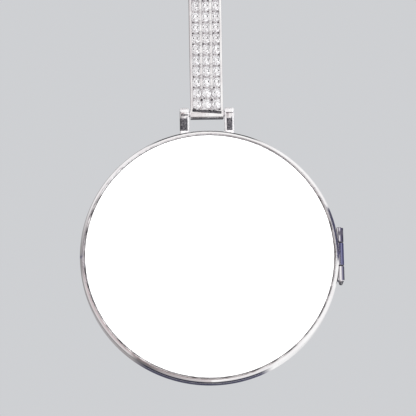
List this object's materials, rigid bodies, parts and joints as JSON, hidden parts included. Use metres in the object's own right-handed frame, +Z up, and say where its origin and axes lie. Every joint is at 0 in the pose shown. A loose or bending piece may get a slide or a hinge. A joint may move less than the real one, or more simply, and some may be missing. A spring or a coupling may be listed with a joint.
{
  "type": "photo pendant",
  "caption": "Round hinged photo locket with a plain bezel and a blank white picture plate, hung by a pin from a tall stone-set bail.",
  "frame": {"origin": "chain seat: the middle of the strap's inner face at the top of the bail, where a chain bears", "axes": "+Z up as the pendant hangs, -Y out of the picture side, +X to the viewer's right (the hinge side)"},
  "size_m": [0.0407, 0.0073, 0.0661],
  "materials": {
    "polished_metal": "mirror-polished white plating with fine handling scratches",
    "pin_metal": "drawn wire, lightly polished",
    "white_plate": "blank glossy white print under a clear coat",
    "clear_stone": "clear, sharply faceted"
  },
  "bodies": {
    "bail": {"bail": "polished_metal", "stone_01_1": "clear_stone", "stone_01_2": "clear_stone", "stone_01_3": "clear_stone", "stone_02_1": "clear_stone", "stone_02_2": "clear_stone", "stone_02_3": "clear_stone", "stone_03_1": "clear_stone", "stone_03_2": "clear_stone", "stone_03_3": "clear_stone", "stone_04_1": "clear_stone", "stone_04_2": "clear_stone", "stone_04_3": "clear_stone", "stone_05_1": "clear_stone", "stone_05_2": "clear_stone", "stone_05_3": "clear_stone", "stone_06_1": "clear_stone", "stone_06_2": "clear_stone", "stone_06_3": "clear_stone", "stone_07_1": "clear_stone", "stone_07_2": "clear_stone", "stone_07_3": "clear_stone", "stone_08_1": "clear_stone", "stone_08_2": "clear_stone", "stone_08_3": "clear_stone", "stone_09_1": "clear_stone", "stone_09_2": "clear_stone", "stone_09_3": "clear_stone", "stone_10_1": "clear_stone", "stone_10_2": "clear_stone", "stone_10_3": "clear_stone", "stone_11_1": "clear_stone", "stone_11_2": "clear_stone", "stone_11_3": "clear_stone", "stone_12_1": "clear_stone", "stone_12_2": "clear_stone", "stone_12_3": "clear_stone", "stone_13_1": "clear_stone", "stone_13_2": "clear_stone", "stone_13_3": "clear_stone"},
    "locket": {"back_case": "polished_metal", "bail_pin": "pin_metal", "hinge_pin": "pin_metal"},
    "lid": {"front_lid": "polished_metal", "photo_plate": "white_plate"}
  },
  "joints": [
    {"name": "locket_swing", "type": "hinge", "parent": "bail", "child": "locket", "pos_m": [0, 0, -0.022], "axis": [1, 0, 0], "range_deg": [-120, 120]},
    {"name": "lid_open", "type": "hinge", "parent": "locket", "child": "lid", "pos_m": [0.02015, -0.00105, -0.04515], "axis": [0, 0, 1], "range_deg": [0, 180]}
  ]
}
